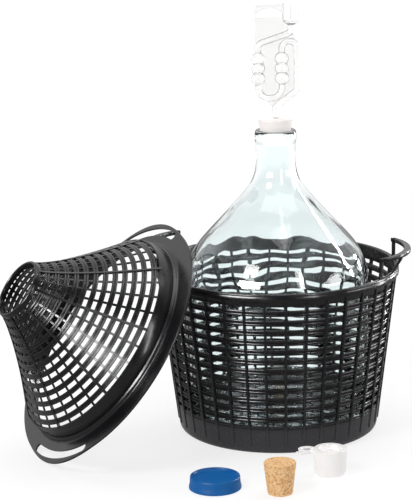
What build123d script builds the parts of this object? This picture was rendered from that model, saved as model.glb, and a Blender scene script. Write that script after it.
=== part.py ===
from build123d import *
import os
import math

# Ten-litre glass carboy in a plastic lattice basket, with its openwork cone lid,
# bored bung, twin-bubble airlock and three loose closures.
# Units are millimetres. Origin: centre of the basket's underside, +Z up,
# the basket's two grab handles on the X axis.

# ---------------------------------------------------------------- dimensions
# bottle
BOTTLE_R = 119.0          # outer radius of the belly
BOTTLE_WALL = 3.2         # glass thickness
BOTTLE_Z0 = 6.0           # the bottle stands on the basket's floor
LIP_Z = 396.0             # top of the mouth
NECK_R = 25.7             # outside of the neck
LIP_R = 26.8              # rounded bead at the mouth
NECK_BORE_R = 18.9        # straight bore below the seat of the bung
# basket
RIM_Z = 217.8             # top of the rim
RIM_R = 159.0             # outside of the rim
WALL_R0 = 130.8           # outer radius of the ribs carried down to z = 0
WALL_SLOPE = 0.1235       # growth of the radius with height
FOOT_R = 124.0            # edge of the flat underside
FLOOR_T = 6.0
N_RIBS = 36
RIB_W = 3.6
N_SLATS = 12
SLAT_PITCH = 13.1
SLAT_H = 8.1
SLAT_T = 3.6
BAND_TOP = 38.3           # top of the solid band at the bottom
HANDLE_HALF = 21.8               # half of the angle a handle spans
HANDLE_C = -5.0                  # the handles are centred between two ribs
HANDLE_WEB = 7.5
HANDLE_Z = 244.4
HANDLE_R = 175.0          # furthest reach of the strap
STRAP_H = 5.5
STRAP_T = 5.0
STRAP_SWELL = 3.5                # the strap is this much wider at its middle
# lid, in its own frame: z = 0 is the top face of the flange
LID_C = (-209.9, -109.4, 139.5)
LID_TILT = 53.99
LID_AZ = 211.08
FLANGE_R = 167.5
FLANGE_T = 2.6
EAR_R = 172.5
EAR_ANG = 199.0
EAR_HALF = 27.0
SLOT_R0, SLOT_R1, SLOT_HALF = 155.0, 165.5, 21.0
STEP_R = 141.0
CONE_R1, CONE_H1 = 136.3, 23.5     # lower edge of the last row of openings
CONE_R0, CONE_H0 = 37.7, 142.6     # top ring
CONE_POW = 1.22
N_HOOPS = 13
LID_T = 2.6
LID_RIB_OFFSET = 8.0
# bung and airlock
BUNG_TOP_Z, BUNG_BOTTOM_Z = 411.5, 377.5
BUNG_R_TOP, BUNG_R_LIP, BUNG_R_BOTTOM = 22.6, 19.85, 16.7
STEM_R = 4.25
BUNG_BORE_R = 4.30
TURN = 7.7                # turn of the airlock's flat plate about Z
# loose closures: (x, y) of their axes
CAP_XY, CORK_XY, PLUG_XY = (-51.7, -257.8), (29.4, -270.8), (84.6, -197.0)

os.makedirs("parts", exist_ok=True)


def revolved(points, plane=Plane.XZ):
    """Solid of revolution about Z of a closed outline given as (r, z) points."""
    with BuildPart() as p:
        with BuildSketch(plane):
            with BuildLine():
                Polyline(*points, close=True)
            make_face()
        revolve(axis=Axis.Z)
    return p.part.solids()[0]


def polar(r, deg, z):
    t = math.radians(deg)
    return (r * math.cos(t), r * math.sin(t), z)


def one(shape):
    s = shape.solids()
    assert len(s) == 1, len(s)
    return s[0]


def save(shape, name, color):
    shape.label = name
    shape.color = Color(*color)
    export_step(shape, "parts/%s.step" % name)
    b = shape.bounding_box()
    print("%-14s faces %4d  vol %9.1f cm3  x %7.1f %7.1f  y %7.1f %7.1f  z %7.1f %7.1f" % (
        name, len(shape.faces()), shape.volume / 1000, b.min.X, b.max.X,
        b.min.Y, b.max.Y, b.min.Z, b.max.Z), flush=True)


# ---------------------------------------------------------------- bottle
# Outer shoulder, from the belly up to the neck, as (r, z).
shoulder = [(119.0, 196.0), (117.6, 214.8), (111.5, 231.4), (101.7, 247.2),
            (87.2, 264.0), (72.3, 279.9), (57.6, 296.2), (43.8, 312.3),
            (32.9, 326.8), (27.4, 341.0), (25.7, 354.0)]
# Inner shoulder: the outer one moved in by the wall along its normal.
inner = []
for i, (r, z) in enumerate(shoulder):
    a = shoulder[max(i - 1, 0)]
    b = shoulder[min(i + 1, len(shoulder) - 1)]
    tr, tz = b[0] - a[0], b[1] - a[1]
    n = math.hypot(tr, tz)
    w = BOTTLE_WALL + (3.6 if r < 30 else 0.8 if r < 60 else 0.0)
    inner.append((r - w * tz / n, z + w * tr / n))
inner[-1] = (NECK_BORE_R, 354.0)
zb = BOTTLE_Z0
with BuildPart() as bp:
    with BuildSketch(Plane.XZ):
        with BuildLine():
            Polyline((0, zb + 5.0), (60, zb + 1.6), (94, zb), (100, zb))
            RadiusArc((100, zb), (119.0, zb + 22), -21.0)
            Line((119.0, zb + 22), (119.0, 196.0))
            Spline(*[Vector(r, z) for r, z in shoulder], tangents=[(0, 1), (0, 1)])
            Polyline((25.7, 354.0), (25.7, LIP_Z - 16.0))
            Polyline((25.7, LIP_Z - 16.0), (LIP_R, LIP_Z - 14.0), (LIP_R, LIP_Z - 3.0),
                     (LIP_R - 0.9, LIP_Z - 0.9), (LIP_R - 3.0, LIP_Z),
                     (BUNG_R_LIP + 0.06, LIP_Z))
            # seat of the bung: the same taper as the bung, 0.06 clear of it
            slope = (BUNG_R_LIP - BUNG_R_BOTTOM) / (LIP_Z - BUNG_BOTTOM_Z)
            zs = LIP_Z - (BUNG_R_LIP + 0.06 - NECK_BORE_R) / slope
            Polyline((BUNG_R_LIP + 0.06, LIP_Z), (NECK_BORE_R, zs), (NECK_BORE_R, 354.0))
            Spline(*[Vector(r, z) for r, z in reversed(inner)], tangents=[(0, -1), (0, -1)])
            ri, zi = inner[0]
            Line((ri, zi), (ri, zb + 24))
            RadiusArc((ri, zb + 24), (98, zb + 5.0), 18.0)
            Polyline((98, zb + 5.0), (60, zb + 6.4), (0, zb + 10.0), (0, zb + 5.0))
        make_face()
    revolve(axis=Axis.Z)
bottle = one(bp.part)

# ---------------------------------------------------------------- basket
def wall_r(z):
    return WALL_R0 + WALL_SLOPE * z


s = WALL_SLOPE
floor_in = wall_r(FLOOR_T) - 5.0
# floor, rounded foot and solid bottom band
tub = revolved([(0, 0.0), (FOOT_R, 0.0), (126.8, 0.9), (129.2, 2.8), (130.4, 5.4),
                (wall_r(11) - 1.2, 11.0), (wall_r(BAND_TOP - 4.2) - 1.2, BAND_TOP - 4.2),
                (wall_r(BAND_TOP - 3.6) - 2.0, BAND_TOP - 3.6), (wall_r(BAND_TOP - 3.0) - 1.2, BAND_TOP - 3.0),
                (wall_r(BAND_TOP) - 1.4, BAND_TOP - 0.6), (wall_r(BAND_TOP) - 2.0, BAND_TOP),
                (wall_r(BAND_TOP) - 4.4, BAND_TOP), (wall_r(12) - 4.6, 12.0),
                (wall_r(9) - 7.0, 7.6), (wall_r(6) - 11.0, FLOOR_T), (0, FLOOR_T)])
pieces = []
# horizontal slats, each with a shallow groove along its face
z0 = BAND_TOP + (SLAT_PITCH - SLAT_H)
for i in range(N_SLATS):
    za = z0 + i * SLAT_PITCH
    zc, zd = za + SLAT_H / 2, za + SLAT_H
    ra, rc, rd = wall_r(za) - 1.3, wall_r(zc) - 1.3, wall_r(zd) - 1.3
    pieces.append(revolved([
        (ra - SLAT_T, za + 0.5), (ra - 0.9, za), (ra, za + 0.9), (rc, zc - 0.9),
        (rc - 1.0, zc), (rc, zc + 0.9), (rd, zd - 0.9), (rd - 0.9, zd),
        (rd - SLAT_T, zd - 0.5)]))
# recessed solid band under the rim, and the rim with its grooved top edge
zb0 = RIM_Z - 17.3
pieces.append(revolved([
    (wall_r(zb0) - 4.6, zb0), (wall_r(zb0) - 1.3, zb0), (wall_r(RIM_Z - 9.8) - 1.3, RIM_Z - 9.8),
    (RIM_R - 0.7, RIM_Z - 9.8), (RIM_R, RIM_Z - 9.0), (RIM_R, RIM_Z - 0.9), (RIM_R - 0.9, RIM_Z),
    (RIM_R - 2.2, RIM_Z), (RIM_R - 2.7, RIM_Z - 0.7), (RIM_R - 3.2, RIM_Z),
    (RIM_R - 5.2, RIM_Z), (RIM_R - 5.9, RIM_Z - 0.9), (wall_r(RIM_Z - 6) - 4.6, RIM_Z - 8.0)]))
# vertical ribs, proud of the slats, ending above the bottom edge
rib_pts = [(wall_r(11.5) - 3.2, 11.5), (wall_r(11.5) - 0.4, 11.5), (wall_r(14), 14.0),
           (wall_r(RIM_Z - 6), RIM_Z - 6.0), (wall_r(RIM_Z - 6) - 4.2, RIM_Z - 6.0)]
with BuildPart() as rb:
    with BuildSketch(Plane.XZ):
        with BuildLine():
            Polyline(*rib_pts, close=True)
        make_face()
    extrude(amount=RIB_W / 2, both=True)
rib = rb.part.solids()[0]
ribs = [rib.rotate(Axis.Z, i * 360.0 / N_RIBS) for i in range(N_RIBS)]


def handle(centre):
    """Grab handle: a strap that bulges outward, on two end posts and two webs."""
    zlo, zhi = HANDLE_Z - STRAP_H, HANDLE_Z
    n = 12
    outer, inn = [], []
    for i in range(n + 1):
        t = -HANDLE_HALF + 2 * HANDLE_HALF * i / n
        k = math.cos(math.radians(t / HANDLE_HALF * 90.0)) ** 0.8 if 0 < i < n else 0.0
        r = 157.6 + (HANDLE_R - 157.6) * k
        outer.append((r, t))
        inn.append((r - STRAP_T - STRAP_SWELL * k, t))
    with BuildPart() as h:
        with BuildSketch(Plane.XY.offset(zlo)):
            with BuildLine():
                Spline(*[Vector(*polar(r, t, 0)[:2]) for r, t in outer])
                Spline(*[Vector(*polar(r, t, 0)[:2]) for r, t in inn])
                Line(Vector(*polar(*outer[0], 0)[:2]), Vector(*polar(*inn[0], 0)[:2]))
                Line(Vector(*polar(*outer[-1], 0)[:2]), Vector(*polar(*inn[-1], 0)[:2]))
            make_face()
        extrude(amount=STRAP_H)
    out = [h.part.solids()[0]]
    # posts at the ends and webs nearer the middle, rising from the rim
    for t, reach, wid in ((-HANDLE_HALF + 0.9, 157.8, 5.0), (HANDLE_HALF - 0.9, 157.8, 5.0),
                          (-HANDLE_WEB, 170.5, 4.0), (HANDLE_WEB, 170.5, 4.0)):
        zt = zhi - 1.0 if reach < 160 else zlo + 1.0
        with BuildPart() as q:
            with BuildSketch(Plane.XZ):
                with BuildLine():
                    Polyline((154.0, RIM_Z - 3.0), (157.8, RIM_Z - 3.0), (reach, zt),
                             (reach - 3.8, zt), close=True)
                make_face()
            extrude(amount=wid / 2, both=True)
        out.append(q.part.solids()[0].rotate(Axis.Z, t))
    return [o.rotate(Axis.Z, centre) for o in out]


basket = tub.fuse(*pieces, *ribs, *handle(HANDLE_C), *handle(HANDLE_C + 180.0))
basket = one(basket)

# ---------------------------------------------------------------- lid
def cone_r(h):
    u = (CONE_H0 - h) / (CONE_H0 - CONE_H1)
    return CONE_R0 + (CONE_R1 - CONE_R0) * max(u, 0.0) ** CONE_POW


def slope_at(h):
    """Unit normal of the cone's outer surface, pointing out, as (r, z)."""
    d = (cone_r(h + 0.2) - cone_r(h - 0.2)) / 0.4 if h < CONE_H0 - 0.3 else -0.5
    n = math.hypot(1.0, d)
    return 1.0 / n, -d / n


# stations at equal steps along the slope
hs = [CONE_H1 + (CONE_H0 - CONE_H1) * i / 400 for i in range(401)]
arc = [0.0]
for i in range(400):
    arc.append(arc[-1] + math.hypot(hs[i + 1] - hs[i], cone_r(hs[i + 1]) - cone_r(hs[i])))
total = arc[-1]


def at(sv):
    sv = min(max(sv, 0.0), total)
    for i in range(400):
        if arc[i + 1] >= sv:
            k = (sv - arc[i]) / (arc[i + 1] - arc[i])
            return hs[i] + k * (hs[i + 1] - hs[i])
    return hs[-1]


def hoop(s0, s1, t, lift=0.0):
    """Ring along the cone between two stations, t thick, its face raised by lift."""
    o, q = [], []
    for sv in (s0, (s0 + s1) / 2, s1):
        h = at(sv)
        nr, nz = slope_at(h)
        o.append((cone_r(h) + lift * nr, h + lift * nz))
        q.append((cone_r(h) - (t - lift) * nr, h - (t - lift) * nz))
    return revolved(o + q[::-1])


pitch = 0.0776 * total
gap = 0.40 * pitch
lid_parts = []
for i in range(N_HOOPS):
    sa = gap + i * pitch
    lid_parts.append(hoop(sa, min(sa + pitch - gap, total), LID_T))
# top ring, a rolled edge that closes the cone
lid_parts.append(revolved([(CONE_R0 - 2.2, CONE_H0 - 6.0), (CONE_R0 + 2.4, CONE_H0 - 7.0),
                           (CONE_R0 + 1.2, CONE_H0 + 1.2), (CONE_R0 - 1.8, CONE_H0 + 1.6)]))
# smooth band below the last row, step and flange with its turned-down skirt
lid_base = revolved([
    (CONE_R1, CONE_H1), (CONE_R1 + 3.4, 14.0), (STEP_R - 1.2, 4.4), (STEP_R, 3.6),
    (STEP_R + 1.2, 0.4), (STEP_R + 2.0, 0.0), (FLANGE_R - 1.4, 0.0), (FLANGE_R, -1.0),
    (FLANGE_R, -FLANGE_T), (STEP_R - 1.2, -FLANGE_T), (STEP_R - 2.6, 2.0),
    (STEP_R - 4.2, 4.4), (CONE_R1 + 0.4, 13.6), (CONE_R1 - 2.6, CONE_H1 - 1.0)])
# ears: the flange widens where the hand-holds are
ears = []
for c in (EAR_ANG, EAR_ANG + 180.0):
    with BuildPart() as e:
        with BuildSketch(Plane.XY.offset(-FLANGE_T)):
            with BuildLine():
                pa, pm, pb = (polar(FLANGE_R - 1.0, c - EAR_HALF, 0), polar(EAR_R, c, 0),
                              polar(FLANGE_R - 1.0, c + EAR_HALF, 0))
                ThreePointArc(pa[:2], pm[:2], pb[:2])
                qa, qm, qb = (polar(150.0, c - EAR_HALF, 0), polar(150.0, c, 0),
                              polar(150.0, c + EAR_HALF, 0))
                ThreePointArc(qa[:2], qm[:2], qb[:2])
                Line(pa[:2], qa[:2])
                Line(pb[:2], qb[:2])
            make_face()
        extrude(amount=FLANGE_T)
    ears.append(e.part.solids()[0])
slots = []
for c in (EAR_ANG, EAR_ANG + 180.0):
    rm, hw = (SLOT_R0 + SLOT_R1) / 2, (SLOT_R1 - SLOT_R0) / 2
    with BuildPart() as e:
        with BuildSketch(Plane.XY.offset(-6.0)):
            SlotArc(ThreePointArc(polar(rm, c - SLOT_HALF, 0)[:2], polar(rm, c, 0)[:2],
                                  polar(rm, c + SLOT_HALF, 0)[:2]), 2 * hw)
        extrude(amount=12.0)
    slots.append(e.part.solids()[0])
# radial ribs under and between the hoops; every fourth one stands proud
nst = 8
thin, proud = [], []
for lst, lift in ((thin, -0.5), (proud, 0.9)):
    o, q = [], []
    for i in range(nst + 1):
        sv = total * i / nst
        h = at(sv) if i else CONE_H1 - 1.0
        hh = max(h, CONE_H1)
        nr, nz = slope_at(min(hh, CONE_H0 - 1))
        o.append((cone_r(hh) + lift * nr, h + lift * nz))
        q.append((cone_r(hh) - (LID_T - 0.4) * nr, h - (LID_T - 0.4) * nz))
    lst += o + q[::-1]
lid_ribs = []
for i in range(36):
    strong = i % 4 == 0
    wid = 3.2 if strong else 2.9
    with BuildPart() as e:
        with BuildSketch(Plane.XZ):
            with BuildLine():
                Polyline(*(proud if strong else thin), close=True)
            make_face()
        extrude(amount=wid / 2, both=True)
    lid_ribs.append(e.part.solids()[0].rotate(Axis.Z, LID_RIB_OFFSET + 10.0 * i))
lid = lid_base.fuse(*lid_parts, *ears, *lid_ribs)
lid = lid.cut(*slots)
lid = one(lid)
tilt, az = math.radians(LID_TILT), math.radians(LID_AZ)
w = Vector(math.sin(tilt) * math.cos(az), math.sin(tilt) * math.sin(az), math.cos(tilt))
up = Vector(0, 0, 1) - w * w.Z
up = up.normalized()
lid_plane = Plane(origin=LID_C, x_dir=up, z_dir=w)
lid = one(lid.moved(lid_plane.location))

# ---------------------------------------------------------------- bung
bung = revolved([(BUNG_BORE_R, BUNG_BOTTOM_Z), (BUNG_R_BOTTOM - 0.8, BUNG_BOTTOM_Z),
                 (BUNG_R_BOTTOM, BUNG_BOTTOM_Z + 0.8 * 1.0),
                 (BUNG_R_LIP + (BUNG_R_BOTTOM - BUNG_R_LIP) * 0.0, LIP_Z),
                 (BUNG_R_TOP, BUNG_TOP_Z - 1.2), (BUNG_R_TOP - 1.0, BUNG_TOP_Z),
                 (BUNG_BORE_R, BUNG_TOP_Z)])

# ---------------------------------------------------------------- airlock
# Drawn in the plane of its flat plate: u to the right, z up; then turned about Z.
STEM_U, LEFT_U, RIGHT_U, DOWN_U, CUP_U = 0.0, -21.5, 9.0, 28.2, 20.8
TUBE_R, TUBE_IN = 4.2, 3.0
BULB_R, BULB_PITCH = 9.1, 12.6
BULB_Z = (462.5, 475.1, 487.7)
U_Z, CUP_Z0, CUP_Z1 = 452.0, 531.5, 558.5
CUP_R = 10.2
PLATE_T = 1.8


def tube(path_pts, radii, r):
    with BuildPart() as t:
        with BuildLine() as ln:
            FilletPolyline(*[(u, 0, z) for u, z in path_pts], radius=radii)
        with BuildSketch(Plane(origin=ln.line @ 0, z_dir=ln.line % 0)):
            Circle(r)
        sweep(path=ln.line)
    return t.part.solids()[0]


def bulbs(u, r):
    return [Pos(u, 0, z) * Sphere(r) for z in BULB_Z]


half = (RIGHT_U - LEFT_U) / 2
mid = (RIGHT_U + LEFT_U) / 2


def skeleton(r, rb, ext):
    """The airlock's tube, either its outside or its bore: ext lengthens the open ends."""
    low = [(STEM_U, 384.0 - ext), (STEM_U, 424.5), (DOWN_U, 447.0), (DOWN_U, 508.5),
           (RIGHT_U + 1.0, 508.5), (RIGHT_U + 0.2, 487.7)]
    low = [(STEM_U, 384.0 - ext), (STEM_U, 425.5), (DOWN_U, 446.5), (DOWN_U, 510.0),
           (RIGHT_U, 510.0), (RIGHT_U, 487.0)]
    a = tube(low, [8.0, 8.0, 9.0, 9.0], r)
    ub = [(RIGHT_U, 463.0), (RIGHT_U, U_Z - half + 0.01), (LEFT_U, U_Z - half + 0.01), (LEFT_U, 463.0)]
    ub = [(RIGHT_U, 466.0), (RIGHT_U, U_Z - half), (LEFT_U, U_Z - half), (LEFT_U, 466.0)]
    b = tube(ub, [half - 0.6, half - 0.6], r)
    top = [(LEFT_U, 487.0), (LEFT_U, 507.0), (CUP_U, 521.0), (CUP_U, CUP_Z0 + 1.5)]
    c = tube(top, [8.0, 7.0], r)
    return [a, b, c] + bulbs(LEFT_U, rb) + bulbs(RIGHT_U, rb)


outer = skeleton(TUBE_R, BULB_R, 0.0)
cup = revolved([(0, CUP_Z0 - 1.6), (4.0, CUP_Z0 - 1.4), (CUP_R - 2.6, CUP_Z0 + 1.2), (CUP_R, CUP_Z0 + 5.0),
                (CUP_R, CUP_Z1), (0, CUP_Z1)])
cup = cup.moved(Location((CUP_U, 0, 0)))
cup_in = revolved([(0, CUP_Z0 + 1.6), (3.6, CUP_Z0 + 1.6), (CUP_R - 3.2, CUP_Z0 + 3.2),
                   (CUP_R - 1.5, CUP_Z0 + 6.0), (CUP_R - 1.5, CUP_Z1 + 5), (0, CUP_Z1 + 5)])
cup_in = cup_in.moved(Location((CUP_U, 0, 0)))
# flat plate that ties the tubes together, with a hanging hole
with BuildPart() as pl:
    with BuildSketch(Plane.XZ):
        with BuildLine():
            Polyline((-25.6, 553.5), (-22.5, 556.5), (12.0, 557.5), (CUP_U, 557.5), (CUP_U, 523.0),
                     (29.5, 512.0), (29.5, 448.0), (3.5, 425.0), (-3.5, 425.0), (-25.6, 452.0),
                     close=True)
        make_face()
        with BuildLine():
            Polyline((-22.4, 540.5), (9.6, 540.5), (9.6, 546.4), (5.6, 549.2), (-0.4, 551.8), (-6.4, 552.9),
                     (-12.4, 551.8), (-18.4, 549.2), (-22.4, 546.4), close=True)
        make_face(mode=Mode.SUBTRACT)
    extrude(amount=PLATE_T / 2, both=True)
plate = pl.part.solids()[0]
air = plate.fuse(*outer, cup)
bore = skeleton(TUBE_IN, BULB_R - 1.2, 4.0)
air = air.cut(*bore, cup_in)
airs = sorted(air.solids(), key=lambda q: -q.volume)
print("airlock solids", [round(q.volume, 1) for q in airs])
airlock = airs[0].rotate(Axis.Z, TURN)

# ---------------------------------------------------------------- loose closures
# push-on cap: open underneath, sunken top face
cap = revolved([(0, 12.4), (27.2, 12.4), (28.6, 13.4), (29.0, 15.4), (29.8, 15.9), (30.6, 15.2),
                (31.2, 8.6), (32.2, 3.6), (32.3, 1.2), (31.7, 0.0), (30.2, 0.0),
                (29.6, 3.4), (28.8, 9.8), (27.8, 10.6), (0, 10.6)])
cap = cap.moved(Location((CAP_XY[0], CAP_XY[1], 0)))
# cork
cork = revolved([(0, 0), (14.6, 0), (15.6, 1.0), (19.9, 39.0), (19.0, 40.0), (0, 40.0)])
cork = cork.moved(Location((CORK_XY[0], CORK_XY[1], 0)))
# plug stopper with a tether: body, strap to the left, round eye and pull tab
body = revolved([(0, 4.0), (13.0, 4.0), (13.0, 0.0), (15.6, 0.0), (18.6, 2.6), (19.6, 10.0),
                 (20.8, 33.2), (20.0, 34.0), (14.4, 34.0), (13.8, 33.4), (13.4, 29.0), (0, 29.0)])
nub = revolved([(0, 28.0), (3.4, 28.0), (3.0, 31.4), (2.2, 32.0), (0, 32.0)])
with BuildPart() as st:
    with BuildSketch(Plane.XY.offset(29.6)):
        with Locations((-28.5, 6.5)):
            Ellipse(11.0, 8.4)
        with Locations((-19.0, 2.0)):
            Rectangle(8.0, 9.0)
        with Locations((-28.5, 6.5)):
            Ellipse(7.2, 4.9, mode=Mode.SUBTRACT)
    extrude(amount=2.6)
    with BuildSketch(Plane.XY.offset(29.6)):
        with Locations((-33.5, -6.5)):
            SlotOverall(21.0, 9.0, rotation=24)
    extrude(amount=2.6)
strap = one(st.part) if len(st.part.solids()) == 1 else None
plug = body.fuse(nub, *(st.part.solids()))
plug = one(plug).rotate(Axis.Z, TURN).moved(Location((PLUG_XY[0], PLUG_XY[1], 0)))

BLACK, CLEAR = (0.06, 0.06, 0.065), (0.9, 0.93, 0.94, 0.4)
save(basket, "basket", BLACK)
save(bottle, "bottle", (0.72, 0.86, 0.84, 0.4))
save(lid, "cone_lid", BLACK)
save(bung, "bung", (0.93, 0.9, 0.87))
save(airlock, "airlock", CLEAR)
save(cap, "push_cap", (0.02, 0.27, 0.58))
save(cork, "cork", (0.78, 0.58, 0.38))
save(plug, "plug_stopper", (0.95, 0.95, 0.94))
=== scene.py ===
import math
import random
import bpy
import bmesh
import numpy as np
from mathutils import Matrix, Vector


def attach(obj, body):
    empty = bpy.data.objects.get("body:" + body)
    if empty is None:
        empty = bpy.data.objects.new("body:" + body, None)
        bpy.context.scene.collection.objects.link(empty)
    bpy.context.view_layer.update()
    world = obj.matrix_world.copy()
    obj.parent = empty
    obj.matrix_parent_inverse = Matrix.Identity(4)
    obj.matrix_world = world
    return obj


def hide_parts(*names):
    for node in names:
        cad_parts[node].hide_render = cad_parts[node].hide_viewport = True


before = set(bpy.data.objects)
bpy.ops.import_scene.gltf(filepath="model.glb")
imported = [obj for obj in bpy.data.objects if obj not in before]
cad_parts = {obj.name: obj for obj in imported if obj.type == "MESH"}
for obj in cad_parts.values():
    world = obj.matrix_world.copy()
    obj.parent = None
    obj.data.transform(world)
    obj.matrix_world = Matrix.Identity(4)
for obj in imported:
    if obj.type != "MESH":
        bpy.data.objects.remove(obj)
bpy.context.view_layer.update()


MM = 0.001
scene = bpy.context.scene
TURN = math.radians(7.7)


# ------------------------------------------------------------------ mesh tools
class Shape:
    """Collects vertices (mm) and faces of one moulding."""

    def __init__(self):
        self.v, self.f, self.n = [], [], 0

    def add(self, v, f, m=None):
        v = np.asarray(v, float).reshape(-1, 3)
        if m is not None:
            v = v @ np.asarray(m, float)[:3, :3].T + np.asarray(m, float)[:3, 3]
        self.v.append(v)
        k = self.n
        self.f.extend([tuple(i + k for i in q) for q in f])
        self.n += len(v)
        return self

    def turned(self, other, m):
        self.add(np.concatenate(other.v), other.f, m)

    def make(self, name, body, nodes, mats, angle=40, matrix=None, merge=0.0):
        co = np.concatenate(self.v)
        if matrix is not None:
            co = co @ np.asarray(matrix, float)[:3, :3].T + np.asarray(matrix, float)[:3, 3]
        me = bpy.data.meshes.new(name)
        me.from_pydata((co * MM).tolist(), [], self.f)
        bm = bmesh.new()
        bm.from_mesh(me)
        if merge:
            bmesh.ops.remove_doubles(bm, verts=bm.verts, dist=merge * MM)
        bmesh.ops.recalc_face_normals(bm, faces=bm.faces)
        bm.to_mesh(me)
        bm.free()
        for p in me.polygons:
            p.use_smooth = True
        me.set_sharp_from_angle(angle=math.radians(angle))
        me.update()
        ob = bpy.data.objects.new(name, me)
        scene.collection.objects.link(ob)
        for m in (mats if isinstance(mats, (list, tuple)) else [mats]):
            me.materials.append(m)
        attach(ob, body)
        if nodes:
            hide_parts(*nodes)
        return ob


def revolve(profile, n=192, closed=True, warp=None):
    """Vertices and quads of a closed (r, z) outline turned about Z. Points on the axis collapse to one."""
    pts = np.asarray(profile, float)
    m = len(pts)
    t = np.arange(n) * 2 * math.pi / n
    v, index = [], []
    for j, (r, z) in enumerate(pts):
        if r < 1e-6:
            index.append(("pole", len(v)))
            v.append((0, 0, z))
        else:
            index.append(("ring", len(v)))
            rr = np.full(n, r) if warp is None else r + warp(r, z, t)
            v.extend(np.stack([rr * np.cos(t), rr * np.sin(t), np.full(n, z)], 1))
    f = []
    for j in range(m if closed else m - 1):
        (ka, a), (kb, b) = index[j], index[(j + 1) % m]
        for i in range(n):
            k = (i + 1) % n
            if ka == "ring" and kb == "ring":
                f.append((a + i, a + k, b + k, b + i))
            elif ka == "pole" and kb == "ring":
                f.append((a, b + k, b + i))
            elif ka == "ring" and kb == "pole":
                f.append((a + i, a + k, b))
    return np.array(v, float), f


def loft(sections, cap=True, loop=False):
    """Skin of closed sections, each an array of k points."""
    s = [np.asarray(q, float) for q in sections]
    k, n = len(s[0]), len(s)
    v = np.concatenate(s)
    f = []
    for i in range(n if loop else n - 1):
        j = (i + 1) % n
        for q in range(k):
            p = (q + 1) % k
            f.append((i * k + q, i * k + p, j * k + p, j * k + q))
    if cap and not loop:
        f.append(tuple(range(k))[::-1])
        f.append(tuple((n - 1) * k + q for q in range(k)))
    return v, f


def rot_z(a):
    c, s = math.cos(a), math.sin(a)
    return np.array([[c, -s, 0, 0], [s, c, 0, 0], [0, 0, 1, 0], [0, 0, 0, 1]])


def rounded(w, h, r, n=4, cx=0.0, cy=0.0):
    """Outline of a w by h rectangle with round corners, counter-clockwise."""
    out = []
    for sx, sy, a0 in ((1, 1, 0), (-1, 1, 90), (-1, -1, 180), (1, -1, 270)):
        for i in range(n + 1):
            a = math.radians(a0 + 90 * i / n)
            out.append((cx + sx * (w / 2 - r) + r * math.cos(a), cy + sy * (h / 2 - r) + r * math.sin(a)))
    return out


def catmull(points, per=8, closed=False):
    p = np.asarray(points, float)
    n = len(p)
    out = []
    for i in range(n if closed else n - 1):
        a = p[(i - 1) % n] if closed or i > 0 else 2 * p[0] - p[1]
        b, c = p[i], p[(i + 1) % n]
        d = p[(i + 2) % n] if closed or i + 2 < n else 2 * p[-1] - p[-2]
        for q in range(per):
            t = q / per
            out.append(0.5 * ((2 * b) + (c - a) * t + (2 * a - 5 * b + 4 * c - d) * t * t
                              + (3 * b - a - 3 * c + d) * t ** 3))
    if not closed:
        out.append(p[-1])
    return np.array(out)


# ------------------------------------------------------------------ materials
def material(name):
    m = bpy.data.materials.new(name)
    m.use_nodes = True
    nt = m.node_tree
    for n in list(nt.nodes):
        if n.type not in ("BSDF_PRINCIPLED", "OUTPUT_MATERIAL"):
            nt.nodes.remove(n)
    return m, nt, next(n for n in nt.nodes if n.type == "BSDF_PRINCIPLED")


def node(nt, kind, **kw):
    n = nt.nodes.new(kind)
    for k, v in kw.items():
        if k in n.inputs:
            n.inputs[k].default_value = v
        else:
            setattr(n, k, v)
    return n


def ramp(nt, stops, src):
    n = nt.nodes.new("ShaderNodeValToRGB")
    e = n.color_ramp.elements
    while len(e) < len(stops):
        e.new(0.5)
    for s, (p, c) in zip(e, stops):
        s.position = p
        s.color = c if len(c) == 4 else (*c, 1)
    nt.links.new(src, n.inputs["Fac"])
    return n


def coords(nt, scale=(1, 1, 1)):
    tc = nt.nodes.new("ShaderNodeTexCoord")
    mp = nt.nodes.new("ShaderNodeMapping")
    mp.inputs["Scale"].default_value = scale
    nt.links.new(tc.outputs["Object"], mp.inputs["Vector"])
    return mp.outputs["Vector"]


def noise_tex(nt, vec, scale, detail=3.0, rough=0.55):
    n = node(nt, "ShaderNodeTexNoise", Scale=scale, Detail=detail, Roughness=rough)
    nt.links.new(vec, n.inputs["Vector"])
    return n


def bump(nt, height, bsdf, strength, distance, base=None):
    b = node(nt, "ShaderNodeBump", Strength=strength, Distance=distance)
    nt.links.new(height, b.inputs["Height"])
    if base is not None:
        nt.links.new(base, b.inputs["Normal"])
    nt.links.new(b.outputs["Normal"], bsdf.inputs["Normal"])
    return b.outputs["Normal"]


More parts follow.
